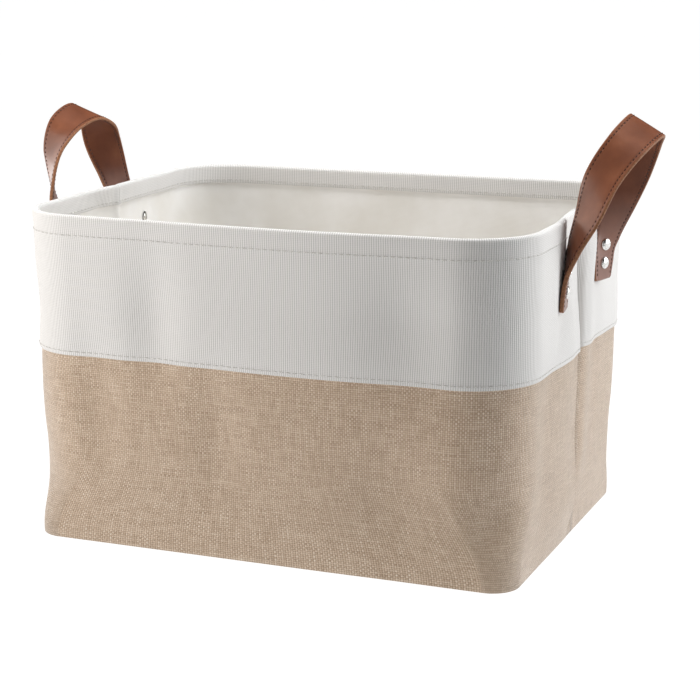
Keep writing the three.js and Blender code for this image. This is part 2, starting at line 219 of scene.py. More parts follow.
def ringed(name, rings, poles, material, plan_uv=False):
    """The closed solid of round rings (rings x sides x 3) with a fan of triangles from each end ring
    to its pole. With plan_uv, the UV map is the piece's own plan."""
    rows, sides = rings.shape[:2]
    vertices = np.concatenate([rings.reshape(-1, 3), poles])
    quads = tube_faces(rows, sides)[0]
    j = np.arange(sides)
    k = (j + 1) % sides
    last = (rows - 1) * sides
    first_fan = np.stack([np.full(sides, rows * sides), j, k], -1)
    last_fan = np.stack([np.full(sides, rows * sides + 1), last + k, last + j], -1)
    face_sets = [quads, first_fan, last_fan]
    uv_sets = [vertices[faces][..., :2] + UV_START for faces in face_sets] if plan_uv else ()
    return placed(name, vertices, face_sets, uv_sets, [material])


# ---- The soft wall --------------------------------------------------------------------------------
# Swells (positive) and hollows (negative) of the wall: the middle, the spread along the wall and up
# it, and how far out the cloth stands there.
SOFT_SPOTS = [
    {"at": (-190, -115, 165), "spread": (34, 24), "out": -2.5},
    {"at": (-190, -110, 236), "spread": (58, 50), "out": -3.4},
    {"at": (-188, -118, 90), "spread": (50, 50), "out": 2.4},
    {"at": (188, 122, 100), "spread": (48, 60), "out": 3.4},
    {"at": (-75, -150, 165), "spread": (20, 55), "out": -5.5},
    {"at": (-122, -150, 105), "spread": (20, 50), "out": -4.6},
    {"at": (-30, -150, 92), "spread": (18, 42), "out": -4.6},
    {"at": (30, -150, 120), "spread": (110, 75), "out": 2.8},
    {"at": (112, -148, 178), "spread": (30, 46), "out": -5.2},
    {"at": (98, -142, 66), "spread": (30, 40), "out": -6.0},
    {"at": (165, -128, 44), "spread": (18, 20), "out": -6.0},
    {"at": (-165, -128, 36), "spread": (20, 20), "out": -3.0},
    {"at": (165, 128, 36), "spread": (20, 20), "out": -3.0},
    {"at": (-165, 128, 42), "spread": (26, 26), "out": -3.5},
    {"at": (-60, 148, 120), "spread": (90, 70), "out": 2.0},
    {"at": (90, 150, 180), "spread": (60, 60), "out": -2.0},
]
SEAM_SHIFT = 5  # how far each end seam lies to one side of the middle
PILLOW = 8.5  # how far the cloth before a seam stands out over it
GROOVE = 5.5
GROOVE_SPREAD = 3.4
# Painted shade along each end seam, standing in for the shadow in its groove:
SEAM_SHADE_MIDDLE = 13  # the middle of the shade in a seam's groove
SEAM_SHADE_REACH = 6
SEAM_SHADE_TOP = 224  # the shade fades out below the hem
SEAM_SHADE_FADE = 34
SEAM_SHADE = 0.4
END_FROM = 160  # the ends lie further than this from the middle
FAR_SWELL = 5.5


def end_swell(x, y, z):
    """The shape of an end by its seam, which is at s = SEAM_SHIFT, s being y at the right end and -y
    at the left: before it the cloth rises to a pillow that falls sharply into the seam's groove,
    and past it lies a low swell. The pillow fades towards the rim and narrows as it does."""
    s = y * np.sign(x)
    before = smooth(s, -85 + 42 * smooth(z, 110, 200), -20) * (1 - smooth(s, SEAM_SHIFT - 8, SEAM_SHIFT))
    pillow = PILLOW * smooth(z, -5, 42) * (1 - smooth(z, 110, 262)) * before
    groove = GROOVE * smooth(z, 2, 30) * (1 - 0.8 * smooth(z, 200, 232))
    groove = groove * bell(s - SEAM_SHIFT - 1, GROOVE_SPREAD)
    past = FAR_SWELL * smooth(z, 20, 70) * (1 - smooth(z, 210, 245)) * bell(s - 26, 16)
    return smooth(np.abs(x), 130, 165) * (pillow - groove + past)


def swell(x, y, z):
    """How far the cloth stands out of the plain wall at a point: the sum of bells for the soft
    spots, the ends' own shape, and slow ripples of the hand."""
    out = end_swell(x, y, z)
    for spot in SOFT_SPOTS:
        (spot_x, spot_y, spot_z), (wide, tall) = spot["at"], spot["spread"]
        across = np.hypot(x - spot_x, y - spot_y)
        out = out + spot["out"] * bell(across, wide) * bell(z - spot_z, tall)
    ripple = np.sin(x / 31 + z / 47 + 0.7) * np.sin(z / 38 - x / 83 + 2.1)
    ripple = ripple + 0.6 * np.sin(y / 23 + z / 29) * np.cos(z / 41 - y / 60 + 0.4)
    return out + 0.55 * ripple * smooth(z, 5, 45) * (1 - 0.5 * smooth(z, 205, 240))


def rim_lift(x, y, z):
    """The rim's wave: it dips a little along the front and rises at the back and the left end."""
    near_rim = smooth(z, 150, HEIGHT)
    dip = -1.3 * bell(x - 20, 130) * smooth(-y, 90, 150)
    back = 2.6 * smooth(y, 60, 140)
    rise = 1.9 * smooth(-x, 120, 185) * bell(y - 10, 75)
    return near_rim * (dip + back + rise)


def half_length(z):
    return (BASE_LENGTH + (RIM_LENGTH - BASE_LENGTH) * z / HEIGHT) / 2


def half_depth(z):
    return (BASE_DEPTH + (RIM_DEPTH - BASE_DEPTH) * z / HEIGHT) / 2


def corner_radius(z):
    return BASE_CORNER + (BODY_CORNER - BASE_CORNER) * smooth(z, 0, CORNER_RISE)


def end_crease(y, z):
    """How far the fold draws an end in at y from its middle, half a cosine wave deep, and its slope."""
    turn = np.pi * np.clip(y / CREASE_REACH, -1, 1)
    depth = END_CREASE * smooth(z, 0, CREASE_RISE)
    return depth * (1 + np.cos(turn)) / 2, -depth * np.pi * np.sin(turn) / (2 * CREASE_REACH)


def wall_point(along, z, out, half):
    """A point of the wall. "along" runs 0 to 5 over end, corner, side, corner, end, from the right
    end's middle round the front to the left end's: straight lines joined by quarter circles, drawn
    in at the ends by a cosine crease, then moved out along the plan normal by "out" and the swell.
    half 1 is the front half; half -1 is the same turned half round, which is the back."""
    along, z, out = np.broadcast_arrays(along, z, out)
    t = np.where(along <= 2.5, along, 5 - along)
    a, b, r = half_length(z), half_depth(z), corner_radius(z)
    share = np.clip(t, 0, 1)
    flip = np.where(along <= 2.5, 1, -1)
    y_end = flip * SEAM_SHIFT * (1 - share) ** 2 - (SEAM_GAP / 2 + (b - r - SEAM_GAP / 2) * share)
    inward, slope = end_crease(y_end, z)
    long = np.hypot(1, slope)
    turn = (np.clip(t, 1, 2) - 1) * np.pi / 2
    x_side = (a - r) * (1 - 2 * (np.clip(t, 2, 2.5) - 2))
    kinds = [t <= 1, t <= 2]
    x = np.select(kinds, [a - inward, a - r + r * np.cos(turn)], x_side)
    y = np.select(kinds, [y_end, -(b - r) - r * np.sin(turn)], -b)
    nx = np.select(kinds, [1 / long, np.cos(turn)], 0)
    ny = np.select(kinds, [slope / long, -np.sin(turn)], -1)
    x, nx = half * flip * x, half * flip * nx
    y, ny = half * y, half * ny
    out = out + swell(x, y, z)
    return np.stack([x + out * nx, y + out * ny, z + rim_lift(x, y, z)], -1)


def wall_stations(fine):
    """Stations round half the wall about "fine" millimetres apart, closer by the end seams."""
    straight = half_depth(HEIGHT / 2) - BODY_CORNER
    end = np.linspace(0, 1, int(1.5 * straight / fine)) ** 1.7
    corner = 1 + np.linspace(0, 1, int(BODY_CORNER * np.pi / 2 / fine) + 1)[1:]
    side = 2 + np.linspace(0, 0.5, int((half_length(HEIGHT / 2) - BODY_CORNER) / fine) + 1)[1:]
    first = np.r_[end, corner, side]
    return np.r_[first, (5 - first)[::-1][1:]]


def wall_lengths(stations, z):
    """Distance along the wall at height z for each station, from the right end's middle."""
    line = wall_point(stations, z, 0.0, 1)
    return np.r_[0, np.cumsum(np.linalg.norm(np.diff(line, axis=0), axis=1))]


def rounded_sheet(middle, thickness):
    """The closed section of a sheet from its middle line (rows of distance out and height): the
    line moved half a thickness to each side, with each end rounded by a half circle."""
    middle = np.asarray(middle, float)
    tangent = unit(np.gradient(middle, axis=0))
    normal = np.stack([tangent[:, 1], -tangent[:, 0]], -1)
    r = thickness / 2
    turns = np.radians([60, 30, -30, -60])
    outer = middle + r * normal
    inner = middle - r * normal
    tip = middle[-1] + r * (np.outer(np.cos(turns), tangent[-1]) + np.outer(np.sin(turns), normal[-1]))
    root = middle[0] - r * (np.outer(np.cos(turns), tangent[0]) + np.outer(np.sin(turns), normal[0]))
    return np.concatenate([root[2:], outer, tip, inner[::-1], root[:2]])


def line_through(points, step):
    """Points along a bent line, no further apart than step, with its own corners kept."""
    points = np.asarray(points, float)
    rows = [points[:1]]
    for a, b in zip(points[:-1], points[1:]):
        n = max(1, int(np.ceil(np.linalg.norm(b - a) / step)))
        rows.append(a + (b - a) * (np.arange(1, n + 1) / n)[:, None])
    return np.concatenate(rows)


def softened(line, passes):
    """A line with its corners rounded by averaging each point with its two neighbours."""
    for _ in range(passes):
        line[1:-1] = (line[:-2] + 2 * line[1:-1] + line[2:]) / 4
    return line


def linen_section():
    middle = line_through([(-LINEN / 2, LINEN / 2), (-LINEN / 2, LINEN_TOP)], 2.6)
    return rounded_sheet(middle, LINEN)


def cuff_section():
    """Up over the linen, in beside the lining, over the rim in a half circle and down inside."""
    lap = CUFF_OUT - CANVAS / 2
    jog = LINEN_TOP + GAP
    flat = -CANVAS / 2
    hem = HEM_IN + CANVAS / 2
    fold = (flat - hem) / 2
    crown = HEIGHT - CANVAS / 2 - fold
    turns = np.linspace(0, np.pi, 9)
    over = [(hem + fold + fold * np.cos(a), crown + fold * np.sin(a)) for a in turns]
    corners = [(lap, CUFF_BOTTOM + CANVAS / 2), (lap, jog), (flat, jog + CUFF_JOG), (flat, crown)]
    rise = line_through(corners, 2.2)
    down = line_through([(hem, crown), (hem, HEIGHT - HEM_DEPTH)], 2.2)
    return rounded_sheet(np.concatenate([softened(rise, 2), over[1:-1], down]), CANVAS)


def lining_section():
    """Up the inside, from the floor to under the turned hem."""
    middle = LINING_OUT - LINING / 2
    points = [(middle, LINING_FLOOR + LINING / 2), (middle, LINING_TOP - LINING / 2)]
    return rounded_sheet(line_through(points, 2.6), LINING)


def wall_piece(name, section, half, material, fine=2.4):
    """A section carried round half the bin."""
    stations = wall_stations(fine)
    points = wall_point(stations[:, None], section[None, :, 1], section[None, :, 0], half)
    u = wall_lengths(stations, 0.6 * HEIGHT)
    v = np.r_[0, np.cumsum(np.linalg.norm(np.diff(section, axis=0), axis=1))]
    return carried(name, points, u + UV_START, v + section[0, 1] + UV_START, [material])


# ---- Materials ------------------------------------------------------------------------------------
class Finish:
    """A material being built: each method adds a node and gives back its output."""

    def __init__(self, name, roughness, metallic=0.0, sheen=0.0, coat=0.0, specular=0.5):
        self.material = bpy.data.materials.new(name)
        self.material.use_nodes = True
        self.nodes = self.material.node_tree.nodes
        self.links = self.material.node_tree.links
        self.shader = self.nodes["Principled BSDF"]
        values = {
            "Roughness": roughness,
            "Metallic": metallic,
            "Sheen Weight": sheen,
            "Coat Weight": coat,
            "Specular IOR Level": specular,
        }
        for key, value in values.items():
            self.shader.inputs[key].default_value = value

    def feed(self, socket, value):
        if isinstance(value, bpy.types.NodeSocket):
            self.links.new(value, socket)
        else:
            socket.default_value = value

    def add(self, kind, output=0, **inputs):
        node = self.nodes.new(kind)
        for key, value in inputs.items():
            self.feed(node.inputs[key.replace("_", " ")], value)
        return node.outputs[output]

    def math(self, operation, *values):
        node = self.nodes.new("ShaderNodeMath")
        node.operation = operation
        for socket, value in zip(node.inputs, values):
            self.feed(socket, value)
        return node.outputs[0]

    def uv(self):
        """The piece's own UV map, in metres, as two sockets."""
        node = self.nodes.new("ShaderNodeUVMap")
        node.uv_map = "cloth"
        return self.split(node.outputs[0])[:2]

    def where(self):
        return self.add("ShaderNodeTexCoord", output="Object")

    def split(self, vector):
        """A vector's x, y and z."""
        node = self.nodes.new("ShaderNodeSeparateXYZ")
        self.feed(node.inputs[0], vector)
        return tuple(node.outputs)

    def vector(self, x, y, z=0.0):
        return self.add("ShaderNodeCombineXYZ", X=x, Y=y, Z=z)

    def noise(self, vector, scale, detail=2.0, roughness=0.5):
        kind = "ShaderNodeTexNoise"
        return self.add(kind, Vector=vector, Scale=scale, Detail=detail, Roughness=roughness)

    def ramp(self, value, stops):
        """A colour ramp through (place, colour) stops."""
        node = self.nodes.new("ShaderNodeValToRGB")
        band = node.color_ramp
        band.elements[0].position, band.elements[0].color = stops[0][0], (*stops[0][1], 1)
        band.elements[1].position, band.elements[1].color = stops[-1][0], (*stops[-1][1], 1)
        for place, colour in stops[1:-1]:
            band.elements.new(place).color = (*colour, 1)
        self.feed(node.inputs[0], value)
        return node.outputs[0]

    def blend(self, factor, a, b, kind="MIX"):
        node = self.nodes.new("ShaderNodeMix")
        node.data_type = "RGBA"
        node.blend_type = kind
        node.clamp_factor = True
        self.feed(node.inputs[0], factor)
        self.feed(node.inputs[6], a)
        self.feed(node.inputs[7], b)
        return node.outputs[2]

    def with_painted_seam_shade(self, colour):
        """The colour with painted shade at the two end seams: a soft dark line up each end, to the hem,
        standing in for the shadow in the seam's groove.
        """
        x, y, z = self.split(self.where())
        along = self.math("MULTIPLY", y, self.math("SIGN", x))
        off = self.math("ABSOLUTE", self.math("SUBTRACT", along, SEAM_SHADE_MIDDLE * MM))
        line = self.add("ShaderNodeMapRange", Value=off, From_Min=SEAM_SHADE_REACH * MM, From_Max=0.5 * MM)
        fade_from = (SEAM_SHADE_TOP - SEAM_SHADE_FADE) * MM
        low = self.add("ShaderNodeMapRange", Value=z, From_Min=SEAM_SHADE_TOP * MM, From_Max=fade_from)
        end = self.math("GREATER_THAN", self.math("ABSOLUTE", x), END_FROM * MM)
        at_end = self.math("MULTIPLY", low, end)
        # Painted shade: darkest on the line, fading away from it and below the hem.
        painted_shade = self.math("MULTIPLY", line, self.math("MULTIPLY", at_end, SEAM_SHADE))
        return self.blend(painted_shade, colour, (0.12, 0.09, 0.07, 1))

    def colour(self, value):
        self.feed(self.shader.inputs["Base Color"], value)

    def relief(self, height, depth, strength=1.0):
        """Bump from a height of 0 to 1 that is "depth" millimetres deep."""
        bump = self.nodes.new("ShaderNodeBump")
        bump.inputs["Strength"].default_value = strength
        bump.inputs["Distance"].default_value = depth * MM
        self.links.new(height, bump.inputs["Height"])
        self.links.new(bump.outputs[0], self.shader.inputs["Normal"])


def plain_weave(f, pitch_x, pitch_y, wobble):
    """Plain weave: warp threads run up the cloth and weft threads across it, each a rounded ridge
    that dips under every other crossing thread. Gives the height, which thread is on top (1 warp),
    a number for each warp and each weft thread, and the UV pair."""
    u, v = f.uv()
    drift = f.noise(f.vector(u, v), 60.0, 1.0)
    drift = f.math("MULTIPLY", f.math("SUBTRACT", drift, 0.5), wobble)
    x = f.math("ADD", f.math("DIVIDE", u, pitch_x * MM), drift)
    y = f.math("ADD", f.math("DIVIDE", v, pitch_y * MM), drift)
    i, j = f.math("FLOOR", x), f.math("FLOOR", y)
    fx = f.math("SUBTRACT", f.math("FRACT", x), 0.5)
    fy = f.math("SUBTRACT", f.math("FRACT", y), 0.5)
    ridge_x = f.math("COSINE", f.math("MULTIPLY", fx, np.pi))
    ridge_y = f.math("COSINE", f.math("MULTIPLY", fy, np.pi))
    odd = f.math("MODULO", f.math("ADD", i, j), 2.0)
    over = f.math("SUBTRACT", 1.0, f.math("MULTIPLY", odd, 2.0))
    half = f.math("MULTIPLY", over, 0.5)
    warp = f.math("MULTIPLY", f.math("POWER", ridge_x, 0.6), f.math("MULTIPLY_ADD", half, ridge_y, 0.5))
    under = f.math("SUBTRACT", 0.5, f.math("MULTIPLY", half, ridge_x))
    weft = f.math("MULTIPLY", f.math("POWER", ridge_y, 0.6), under)
    height = f.math("MAXIMUM", warp, weft)
    warp_on_top = f.math("GREATER_THAN", warp, weft)
    return height, warp_on_top, i, j, u, v


def linen_cloth():
    """Beige linen: slubby two-tone threads in a coarse plain weave, with painted shade in the low places
    between the threads and along the end seams.
    """
    f = Finish("beige_linen", roughness=0.92, sheen=0.7, specular=0.2)
    height, warp_on_top, i, j, u, v = plain_weave(f, 1.58, 1.47, 0.35)
    along_warp = f.noise(f.vector(f.math("MULTIPLY", i, 3.7), f.math("MULTIPLY", v, 70.0)), 1.0, 2.0)
    along_weft = f.noise(f.vector(f.math("MULTIPLY", u, 70.0), f.math("MULTIPLY", j, 5.3)), 1.0, 2.0)
    mixer = f.nodes.new("ShaderNodeMix")
    f.feed(mixer.inputs[0], warp_on_top)
    f.feed(mixer.inputs[2], along_weft)
    f.feed(mixer.inputs[3], along_warp)
    slub = mixer.outputs[0]
    pale = [(0.3, (0.51, 0.39, 0.28)), (0.55, (0.67, 0.54, 0.415)), (0.72, (0.76, 0.645, 0.52))]
    deep = [(0.3, (0.43, 0.31, 0.21)), (0.55, (0.59, 0.45, 0.33)), (0.72, (0.70, 0.57, 0.44))]
    warp = f.ramp(slub, pale)
    weft = f.ramp(slub, deep)
    tone = f.blend(warp_on_top, weft, warp)
    # Painted shade: the weave's low places between the threads are darkened.
    painted_shade = f.ramp(height, [(0.15, (0.45, 0.38, 0.33)), (0.75, (1.0, 1.0, 1.0))])
    cloth = f.blend(1.0, tone, painted_shade, "MULTIPLY")
    cloudy = f.noise(f.where(), 14.0, 3.0)
    cloth = f.blend(f.math("MULTIPLY", cloudy, 0.18), cloth, (0.40, 0.30, 0.22, 1))
    # Painted shade along the end seams.
    f.colour(f.with_painted_seam_shade(cloth))
    f.relief(height, 0.4)
    return f.material


RIB = 1.58


def canvas_cloth():
    """White canvas: fine upright ribs crossed by a finer weft, with painted shade in the low places
    between the threads and along the end seams.
    """
    f = Finish("white_canvas", roughness=0.85, sheen=0.1, specular=0.25)
    height, _, _, _, u, v = plain_weave(f, RIB, 1.2, 0.2)
    rib = f.math("ABSOLUTE", f.math("SINE", f.math("MULTIPLY", u, np.pi / (RIB * MM))))
    surface = f.math("MULTIPLY_ADD", height, 0.5, f.math("MULTIPLY", rib, 0.5))
    grain = f.noise(f.vector(f.math("MULTIPLY", u, 900.0), f.math("MULTIPLY", v, 300.0)), 1.0, 2.0)
    # The tone follows the weave's height: painted shade darkens the low places between the threads.
    gap_shaded_whites = [(0.25, (0.46, 0.455, 0.445)), (0.6, (0.67, 0.66, 0.65)), (0.9, (0.76, 0.755, 0.745))]
    tone = f.ramp(surface, gap_shaded_whites)
    tone = f.blend(f.math("MULTIPLY", grain, 0.14), tone, (0.58, 0.57, 0.555, 1))
    # Painted shade along the end seams.
    f.colour(f.with_painted_seam_shade(tone))
    f.relief(surface, 0.22)
    return f.material


def lining_cloth():
    """Off-white lining: a fine close weave, softly blotched, with painted shade that makes it darker and
    warmer lower down and darkens the low places between the threads.
    """
    f = Finish("white_lining", roughness=0.8, sheen=0.08, specular=0.25)
    height, *_ = plain_weave(f, 0.9, 0.9, 0.2)
    place = f.where()
    blotch = f.noise(place, 22.0, 3.0)
    # Painted shade: darker and warmer towards the floor, standing in for the shade and warm bounce deep
    # inside the bin.
    low = f.math("SUBTRACT", 1.0, f.math("DIVIDE", f.split(place)[2], 0.24))
    tone = f.ramp(blotch, [(0.35, (0.79, 0.775, 0.74)), (0.65, (0.88, 0.875, 0.86))])
    tone = f.blend(f.math("MULTIPLY", low, 0.35), tone, (0.72, 0.66, 0.58, 1))
    # Painted shade: the weave's low places between the threads are darkened.
    painted_shade = f.ramp(height, [(0.1, (0.9, 0.9, 0.9)), (0.7, (1, 1, 1))])
    f.colour(f.blend(1.0, tone, painted_shade, "MULTIPLY"))
    f.relief(height, 0.12)
    return f.material


def strap_leather(name, shaded_inside_loop):
    """Brown leather: fine pebble grain, cloudy dye, polished. The copy for the side that faces into the
    loop has painted shade: above the fold line its colour is darkened and its polish lowered, standing
    in for the shade inside the loop."""
    f = Finish(name, roughness=0.36, coat=0.16, specular=0.6)
    place = f.where()
    grain = f.noise(place, 900.0, 3.0, 0.6)
    pores = f.add("ShaderNodeTexVoronoi", output="Distance", Vector=place, Scale=1100.0)
    cloud = f.noise(place, 40.0, 3.0)
    browns = [(0.3, (0.13, 0.042, 0.02)), (0.55, (0.19, 0.064, 0.03)), (0.75, (0.26, 0.095, 0.045))]
    dye = f.ramp(cloud, browns)
    dye = f.blend(f.math("MULTIPLY", grain, 0.3), dye, (0.11, 0.035, 0.018, 1))
    if shaded_inside_loop:
        height = f.split(place)[2]
        high = f.add("ShaderNodeMapRange", Value=height, From_Min=0.22, From_Max=0.25)
        # Painted shade: the colour is darkened above the fold line, standing in for the shade inside the
        # loop.
        dye = f.blend(high, dye, f.blend(1.0, dye, (0.72, 0.7, 0.7, 1), "MULTIPLY"))
        f.feed(f.shader.inputs["Roughness"], f.math("MULTIPLY_ADD", high, 0.2, 0.36))
        f.feed(f.shader.inputs["Coat Weight"], f.math("MULTIPLY_ADD", high, -0.16, 0.16))
        f.feed(f.shader.inputs["Specular IOR Level"], f.math("MULTIPLY_ADD", high, -0.42, 0.6))
    f.colour(dye)
    f.relief(f.math("MULTIPLY_ADD", pores, 0.6, f.math("MULTIPLY", grain, 0.4)), 0.06)
    return f.material


def raw_edge():
    """The strap's cut edge: burnished brown, a little paler than the face."""
    f = Finish("strap_raw_edge", roughness=0.6, specular=0.35)
    fibre = f.noise(f.where(), 700.0, 3.0)
    f.colour(f.ramp(fibre, [(0.3, (0.16, 0.065, 0.03)), (0.7, (0.30, 0.135, 0.065))]))
    f.relief(fibre, 0.1)
    return f.material


def thread(name, dark, light, roughness):
    """Twisted sewing thread between two tones."""
    f = Finish(name, roughness=roughness, sheen=0.1, specular=0.3)
    strand = f.noise(f.where(), 1500.0, 1.0)
    f.colour(f.ramp(strand, [(0.35, dark), (0.65, light)]))
    f.relief(strand, 0.08)
    return f.material


def nickel():
    """Bright nickel plate with faint rubbing."""
    f = Finish("rivet_nickel", roughness=0.22, metallic=1.0)
    rub = f.noise(f.where(), 600.0, 3.0)
    f.colour(f.ramp(rub, [(0.3, (0.58, 0.57, 0.55)), (0.7, (0.80, 0.79, 0.77))]))
    f.relief(rub, 0.01)
    return f.material


def fibre_board():
    """The stiffener: pale grey-brown pressed fibre."""
    f = Finish("fibre_board", roughness=0.85)
    fleck = f.noise(f.where(), 450.0, 4.0, 0.7)
    f.colour(f.ramp(fleck, [(0.3, (0.36, 0.30, 0.22)), (0.7, (0.56, 0.49, 0.38))]))
    f.relief(fleck, 0.1)
    return f.material


LINEN_CLOTH = linen_cloth()
CANVAS_CLOTH = canvas_cloth()
LINING_CLOTH = lining_cloth()
LEATHER = strap_leather("brown_leather", False)
# A copy of the leather with painted shade, for the strap's face into the loop.
SHADED_LEATHER = strap_leather("leather_painted_shade_inside_loop", True)
EDGE = raw_edge()
WHITE_THREAD = thread("white_thread", (0.44, 0.43, 0.41), (0.70, 0.69, 0.67), 0.7)
BROWN_THREAD = thread("brown_thread", (0.022, 0.008, 0.005), (0.07, 0.024, 0.013), 0.6)
NICKEL = nickel()
BOARD = fibre_board()


# ---- Stitches -------------------------------------------------------------------------------------
def stitch_run(name, centre, along, up, kind, material):
    """A run of stitches as one piece: each is a long round bead, a ring of six points carried
    through five stations whose size follows a half circle, set down at every centre with its long
    axis along and its thickness up."""
    across = unit(np.cross(up, along))
    stations = np.radians([0, 35, 90, 145, 180])
    turns = np.linspace(0, 2 * np.pi, 6, endpoint=False)
    size = np.sin(stations)
    size[[0, -1]] = 0.25
    reach = -np.cos(stations) * kind["length"] / 2
    r = kind["width"] / 2
    bead = np.stack(
        [
            np.repeat(reach, 6),
            (r * size[:, None] * np.cos(turns)).ravel(),
            (0.7 * r * size[:, None] * np.sin(turns)).ravel(),
        ],
        -1,
    )
    count = len(centre)
    axes = np.stack([along, across, up], 1)
    points = centre[:, None, :] + np.einsum("pk,nkd->npd", bead, axes)
    i, j = np.meshgrid(np.arange(4), np.arange(6), indexing="ij")
    k = (j + 1) % 6
    quads = np.stack([i * 6 + j, i * 6 + k, (i + 1) * 6 + k, (i + 1) * 6 + j], -1).reshape(-1, 4)
    ends = np.array([[0, 1, 2, 3], [0, 3, 4, 5], [27, 26, 25, 24], [29, 28, 27, 24]])[:, ::-1]
    one = np.concatenate([quads, ends])
    faces = (one[None] + np.arange(count)[:, None, None] * len(bead)).reshape(-1, 4)
    return placed(name, points, [faces], materials=[material])


def wall_stitches(name, z, out, half, inside=False):
    """Stitches along the wall at height z, lying on the face at "out"."""
    near = 0.004
    dense = np.linspace(near, 5 - near, 4000)
    line = wall_point(dense, z, out, half)
    length = np.r_[0, np.cumsum(np.linalg.norm(np.diff(line, axis=0), axis=1))]
    first = CLOTH_STITCH["pitch"] / 2
    at = np.interp(np.arange(first, length[-1] - first, CLOTH_STITCH["pitch"]), length, dense)
    proud = CLOTH_STITCH["proud"] * (-1 if inside else 1)
    centre = wall_point(at, z, out + proud, half)
    along = unit(wall_point(at + near, z, out, half) - wall_point(at - near, z, out, half))
    rise = unit(wall_point(at, z + 1, out, half) - wall_point(at, z - 1, out, half))
    face = unit(np.cross(along, rise))
    return stitch_run(name, centre, along, face, CLOTH_STITCH, WHITE_THREAD)


# ---- Straps ---------------------------------------------------------------------------------------
# Places along each strap from its front tab over the crown to its rear tab: x and y, height, and the
# turn of the strap's width about the vertical, in degrees.
RIGHT_STRAP = [
    (188.3, -46, 177.5, -82),
    (188.8, -46, 189.5, -80.5),
    (189.7, -46, 200, -77),
    (191.4, -46.1, 210, -69),
    (195.3, -46.6, 222, -60),
    (203, -44.5, 241.8, -45),
    (210.6, -36.4, 267.8, -29.5),
    (224.6, -20, 291.8, -15.5),
    (231.3, 0, 300.9, -1.5),
    (224.6, 19.8, 291.4, 13),
    (214, 35.6, 267.7, 26.5),
    (202.9, 45.1, 241, 39.5),
    (194.2, 47, 218, 53),
    (192.4, 46.3, 208, 65),
    (192, 46, 196, 72),
    (191.6, 46, 184, 78),
]
LEFT_STRAP = [
    (-188.3, -46, 177.5, -98),
    (-188.8, -46, 189.5, -98),
    (-189.7, -46, 200, -95),
    (-194, -47.5, 213, -80),
    (-206, -50.6, 229.3, -69),
    (-210.8, -46.6, 250.9, -54),
    (-212.9, -38.4, 271.9, -39),
    (-211.3, -23.2, 289.5, -18),
    (-207.7, 0, 296.7, 1),
    (-210, 20.5, 288.1, 24),
    (-213.6, 35.2, 270.5, 50),
    (-211.8, 43.2, 252.6, 58),
    (-206, 45.8, 232.3, 63),
    (-196, 46, 214, 80),
    (-190.3, 46, 202, 94),
    (-188.6, 46, 192, 98),
    (-188.1, 46, 184, 98),
]
STRAP_LEAN = {"right": 30, "left": 22}
STRAP_COUNT = 260
TAB_CORNER = 1.8
LOOP_THINNING = 0.2
CHANNEL = 0.22


def strap_frames(stations, lean, count=STRAP_COUNT):
    """Along a strap: its middle, direction, width direction, face direction, width, share of the
    full thickness and length so far. The width direction turns about the vertical and tilts over
    the crown by "lean"; the width grows and the thickness falls from a tab's to the loop's, and
    each end is rounded at its corners."""
    row = spline(stations, count)
    centre = row[:, :3]
    tangent = unit(np.gradient(centre, axis=0))
    turn = np.radians(row[:, 3])
    tilt = np.radians(lean) * np.clip(np.cos(turn), 0, 1)
    across = np.stack([np.cos(turn) * np.cos(tilt), np.sin(turn) * np.cos(tilt), -np.sin(tilt)], -1)
    across = unit(across - (across * tangent).sum(-1, keepdims=True) * tangent)
    face = np.cross(tangent, across)
    length = np.r_[0, np.cumsum(np.linalg.norm(np.diff(centre, axis=0), axis=1))]
    from_end = np.minimum(length, length[-1] - length)
    width = TAB_WIDTH + (LOOP_WIDTH - TAB_WIDTH) * smooth(from_end, 30, 90)
    short = np.clip(TAB_CORNER - from_end, 0, TAB_CORNER)
    width = width - 2 * (TAB_CORNER - np.sqrt(TAB_CORNER**2 - short**2))
    thick = 1 - LOOP_THINNING * smooth(from_end, 25, 70)
    return centre, tangent, across, face, width, thick, length


def strap_section():
    """The section of a strap at the loop's width, and each stretch's material: two faces with a
    shallow sewing channel near each edge, and rounded cut edges."""
    t = STRAP / 2
    half = LOOP_WIDTH / 2
    margin = np.linspace(half - 5, half - 0.9, 10)
    x = np.r_[-margin[::-1], np.linspace(-half + 6, half - 6, 9), margin]
    channel = CHANNEL * bell(np.abs(x) - (half - STITCH_INSET), 0.8)
    crown = 0.12 * (1 - (x / half) ** 2)
    top = np.stack([x, t - channel + crown], -1)
    turns = np.radians([58, 25, -25, -58])
    edge = np.stack([half - 0.9 + 0.9 * np.cos(turns), t * 0.94 * np.sin(turns)], -1)
    section = np.concatenate([top, edge, top[::-1] * (1, -1), -edge])
    raw = np.zeros(len(section), int)
    n = len(top)
    # The face into the loop takes the leather copy with painted shade.
    raw[: n - 1] = 2
    raw[n - 1 : n + 4] = 1
    raw[2 * n + 3 :] = 1
    return section, raw


def strap_piece(name, stations, lean):
    """One leather strap from tab to tab, with its cut edges in their own material. The section's
    edge stays as it is and its middle stretches to the strap's width."""
    centre, _, across, face, width, thick, length = strap_frames(stations, lean)
    section, raw = strap_section()
    edge = LOOP_WIDTH / 2 - np.abs(section[:, 0])
    stretched = section[:, 0] * (width[:, None] / LOOP_WIDTH)
    reach = np.where(edge > 8, stretched, np.sign(section[:, 0]) * (width[:, None] / 2 - edge))
    depth = section[:, 1] * thick[:, None]
    points = centre[:, None] + reach[..., None] * across[:, None] + depth[..., None] * face[:, None]
    v = np.r_[0, np.cumsum(np.linalg.norm(np.diff(section, axis=0), axis=1))]
    return carried(name, points, length + UV_START, v + UV_START, [LEATHER, EDGE, SHADED_LEATHER], raw)


